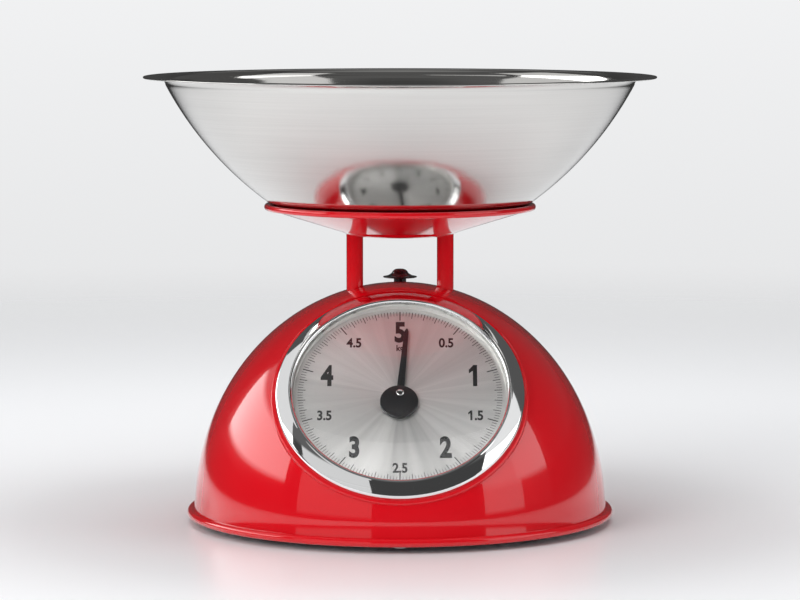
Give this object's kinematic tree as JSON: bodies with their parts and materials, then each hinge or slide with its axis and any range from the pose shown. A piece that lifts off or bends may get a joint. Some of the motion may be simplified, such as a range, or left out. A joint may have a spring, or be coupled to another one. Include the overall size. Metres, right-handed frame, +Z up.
{
  "type": "kitchen scale",
  "caption": "Mechanical kitchen scale: round domed body with a tilted dial, a dish on two posts and a lift-off steel bowl.",
  "frame": {"origin": "on the table plane, below the axis of the dome and the bowl", "axes": "+Z up along the bowl's axis, the dial faces -Y, +X to the right of someone reading the dial"},
  "size_m": [0.245, 0.245, 0.214],
  "materials": {
    "red_enamel": "gloss",
    "stainless": "bright, fine circular grain",
    "chrome": "mirror",
    "dial_silver": "satin",
    "clear_glass": "clear",
    "black_rubber": "matte",
    "pointer_black": "satin",
    "black_plastic": "gloss",
    "nylon": "satin",
    "brass": "machined",
    "spring_steel": "bright drawn wire",
    "zinc_steel": "zinc plated"
  },
  "bodies": {
    "chassis": {"dome_shell": "red_enamel", "dome_lugs": "zinc_steel", "base_plate": "zinc_steel", "base_screws": "zinc_steel", "foot_front_left": "black_rubber", "foot_front_right": "black_rubber", "foot_rear_left": "black_rubber", "foot_rear_right": "black_rubber", "post_guide_left": "nylon", "post_guide_right": "nylon", "knob_bush": "black_plastic", "overload_buffer": "black_rubber", "mechanism_frame": "zinc_steel", "frame_screws": "zinc_steel", "upper_frame_pin": "zinc_steel", "lower_frame_pin": "zinc_steel", "frame_pin_clips": "zinc_steel", "dial_backplate": "zinc_steel", "dial_face": "dial_silver", "dial_spacer": "nylon", "glass_gasket": "black_rubber", "dial_glass": "clear_glass", "bezel": "chrome", "bezel_nuts": "zinc_steel", "movement_bridge": "zinc_steel", "bridge_screws": "zinc_steel", "rack_guide_upper": "nylon", "rack_guide_lower": "nylon", "shaft_bush_front": "brass", "shaft_bush_rear": "brass"},
    "platform": {"load_carriage": "zinc_steel", "post_left": "red_enamel", "post_right": "red_enamel", "post_screws": "zinc_steel", "load_dish": "red_enamel", "upper_carriage_pin": "zinc_steel", "lower_carriage_pin": "zinc_steel", "carriage_pin_clips": "zinc_steel", "drive_arm": "zinc_steel", "arm_screws": "zinc_steel", "drive_pin": "zinc_steel", "spring_left": "spring_steel", "spring_right": "spring_steel"},
    "bowl": {"bowl": "stainless"},
    "upper_lever": {"upper_lever": "zinc_steel"},
    "lower_lever": {"lower_lever": "zinc_steel"},
    "rack": {"drive_rack": "brass"},
    "pointer": {"pointer_shaft": "zinc_steel", "pinion": "brass", "needle": "pointer_black", "counterweight_disc": "pointer_black", "shaft_cap": "zinc_steel"},
    "zero_knob": {"zero_knob": "black_plastic", "zero_screw": "zinc_steel", "screw_collar": "brass"},
    "spring_hanger": {"spring_hanger": "zinc_steel"}
  },
  "joints": [
    {"name": "weighing_travel", "type": "slide", "parent": "chassis", "child": "platform", "axis": [0, 0, -1], "range_m": [0, 0.012], "stiffness_N_per_m": 4090, "springref_m": -0.0028, "deforming": ["spring_left", "spring_right"]},
    {"name": "bowl_lift", "type": "slide", "parent": "platform", "child": "bowl", "axis": [0, 0, 1], "range_m": [0, 0.06]},
    {"name": "upper_lever_hinge", "type": "hinge", "parent": "chassis", "child": "upper_lever", "pos_m": [0, 0.034, 0.062], "axis": [1, 0, 0], "range_deg": [0, 12.73]},
    {"name": "lower_lever_hinge", "type": "hinge", "parent": "chassis", "child": "lower_lever", "pos_m": [0, 0.034, 0.024], "axis": [1, 0, 0], "range_deg": [0, 12.73]},
    {"name": "rack_slide", "type": "slide", "parent": "chassis", "child": "rack", "axis": [0, -0.6626, -0.749], "range_m": [0, 0.01612]},
    {"name": "pointer_turn", "type": "hinge", "parent": "chassis", "child": "pointer", "pos_m": [0, -0.0567, 0.0655], "axis": [0, 0.749, -0.6626], "range_deg": [0, 361]},
    {"name": "zero_knob_turn", "type": "hinge", "parent": "chassis", "child": "zero_knob", "pos_m": [0, 0.025, 0.1], "axis": [0, 0, 1], "range_deg": [-720.5, 720.5]},
    {"name": "hanger_slide", "type": "slide", "parent": "chassis", "child": "spring_hanger", "axis": [0, 0, 1], "range_m": [-0.0014, 0.0014]}
  ],
  "couplings": [
    {"joint": "upper_lever_hinge", "follows": "weighing_travel", "rad_per_m": 18.443},
    {"joint": "lower_lever_hinge", "follows": "weighing_travel", "rad_per_m": 18.443},
    {"joint": "rack_slide", "follows": "weighing_travel", "ratio": 1.3352},
    {"joint": "pointer_turn", "follows": "weighing_travel", "rad_per_m": 523.6},
    {"joint": "zero_knob_turn", "follows": "hanger_slide", "rad_per_m": 8976}
  ]
}
